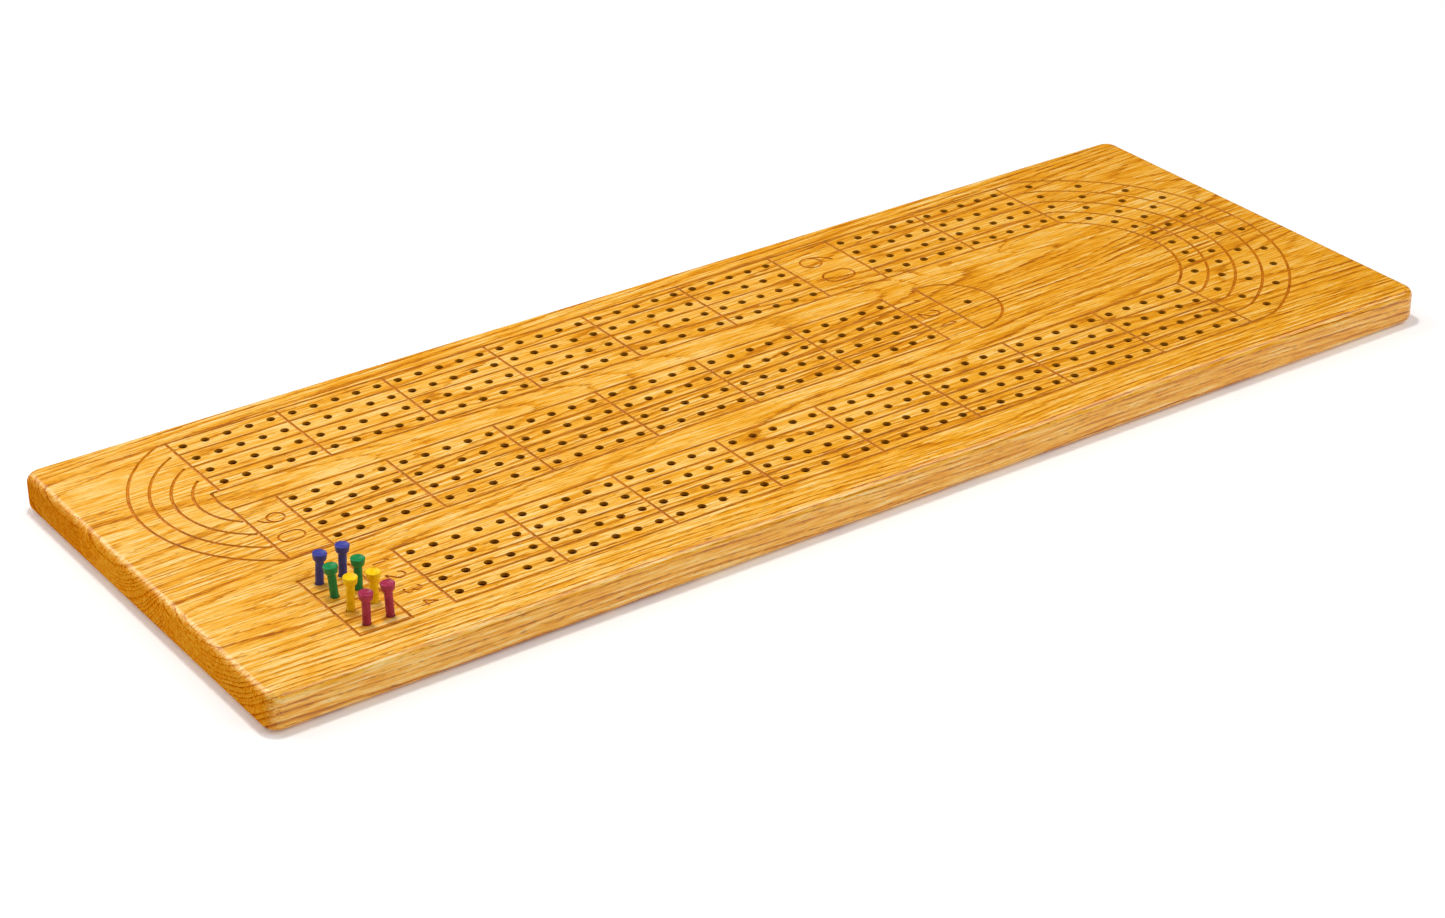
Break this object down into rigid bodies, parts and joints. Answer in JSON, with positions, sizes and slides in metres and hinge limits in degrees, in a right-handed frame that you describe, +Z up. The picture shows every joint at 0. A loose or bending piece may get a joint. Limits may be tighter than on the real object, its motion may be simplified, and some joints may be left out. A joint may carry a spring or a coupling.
{
  "type": "cribbage board",
  "caption": "Rectangular oak peg-scoring board with engraved lanes in a folded track, rows of small blind holes, and coloured lift-out pegs standing in a start box.",
  "frame": {"origin": "centre of the board's underside", "axes": "+X along the board's length towards the turn that carries holes, +Y towards the back edge, +Z up, out of the playing face"},
  "size_m": [0.5588, 0.2032, 0.0301],
  "materials": {
    "oak": "gloss varnish",
    "peg_blue": "moulded, satin gloss",
    "peg_green": "moulded, satin gloss",
    "peg_yellow": "moulded, satin gloss",
    "peg_red": "moulded, satin gloss"
  },
  "bodies": {
    "board": {"rear_board": "oak", "middle_board": "oak", "front_board": "oak"},
    "peg_blue_left": {"peg_blue_left": "peg_blue"},
    "peg_blue_right": {"peg_blue_right": "peg_blue"},
    "peg_green_left": {"peg_green_left": "peg_green"},
    "peg_green_right": {"peg_green_right": "peg_green"},
    "peg_yellow_left": {"peg_yellow_left": "peg_yellow"},
    "peg_yellow_right": {"peg_yellow_right": "peg_yellow"},
    "peg_red_left": {"peg_red_left": "peg_red"},
    "peg_red_right": {"peg_red_right": "peg_red"}
  },
  "joints": [
    {"name": "peg_blue_left_lift", "type": "slide", "parent": "board", "child": "peg_blue_left", "axis": [0, 0, 1], "range_m": [0, 0.026]},
    {"name": "peg_blue_right_lift", "type": "slide", "parent": "board", "child": "peg_blue_right", "axis": [0, 0, 1], "range_m": [0, 0.026]},
    {"name": "peg_green_left_lift", "type": "slide", "parent": "board", "child": "peg_green_left", "axis": [0, 0, 1], "range_m": [0, 0.026]},
    {"name": "peg_green_right_lift", "type": "slide", "parent": "board", "child": "peg_green_right", "axis": [0, 0, 1], "range_m": [0, 0.026]},
    {"name": "peg_yellow_left_lift", "type": "slide", "parent": "board", "child": "peg_yellow_left", "axis": [0, 0, 1], "range_m": [0, 0.026]},
    {"name": "peg_yellow_right_lift", "type": "slide", "parent": "board", "child": "peg_yellow_right", "axis": [0, 0, 1], "range_m": [0, 0.026]},
    {"name": "peg_red_left_lift", "type": "slide", "parent": "board", "child": "peg_red_left", "axis": [0, 0, 1], "range_m": [0, 0.026]},
    {"name": "peg_red_right_lift", "type": "slide", "parent": "board", "child": "peg_red_right", "axis": [0, 0, 1], "range_m": [0, 0.026]}
  ]
}
